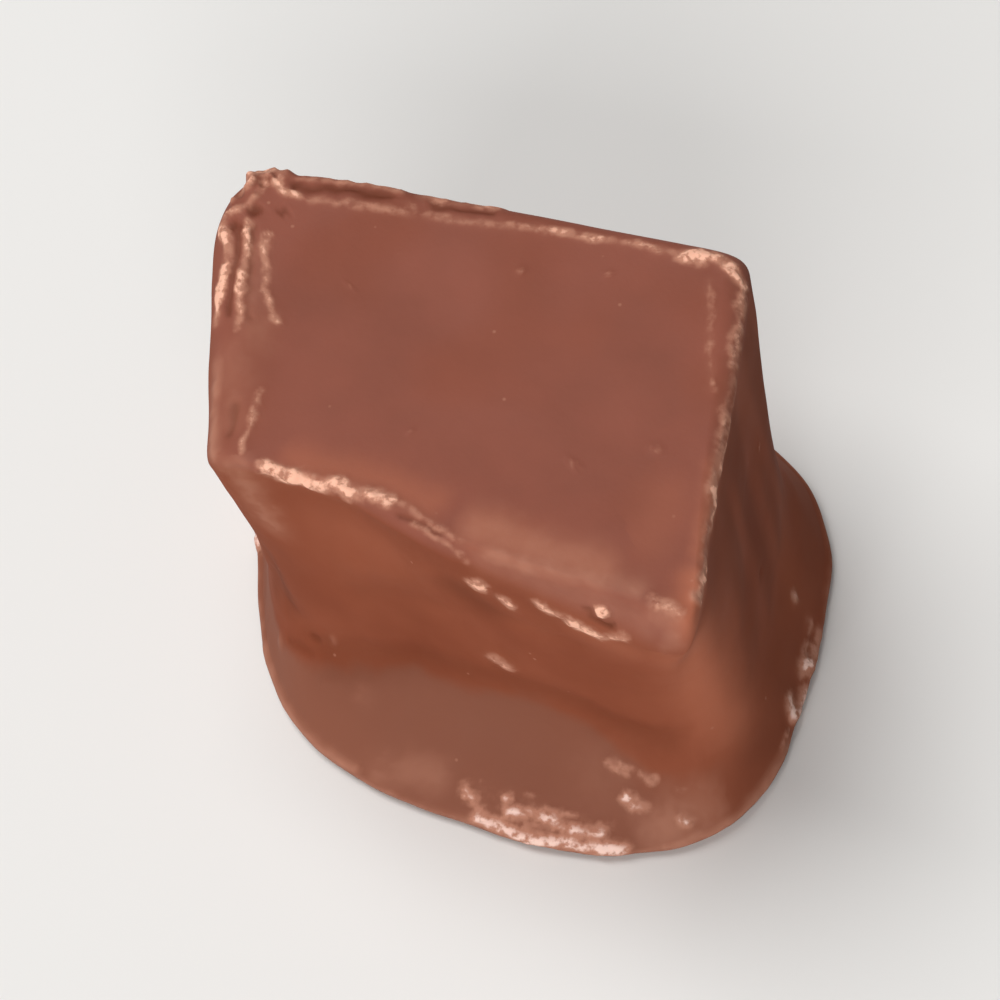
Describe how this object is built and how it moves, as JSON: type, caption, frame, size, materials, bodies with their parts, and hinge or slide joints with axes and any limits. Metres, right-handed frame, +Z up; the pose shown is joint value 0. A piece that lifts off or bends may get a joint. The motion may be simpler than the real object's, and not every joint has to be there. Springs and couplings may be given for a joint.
{
  "type": "chocolate-covered turkish delight",
  "caption": "Hand-cut cube of turkish delight in milk chocolate, with a flat rubbed top, hollow walls and a flared lip round its base, to serve and eat as a single sweet.",
  "frame": {"origin": "on the table under the middle of the piece's box", "axes": "+Z up out of the flat top, +X along the longer side of the top towards the right wall, -Y out of the front wall"},
  "size_m": [0.028, 0.0246, 0.0185],
  "materials": {
    "milk_chocolate": "satin milk chocolate, paler where the edges are rubbed"
  },
  "bodies": {
    "root": {"chocolate_piece": "milk_chocolate"}
  },
  "joints": []
}
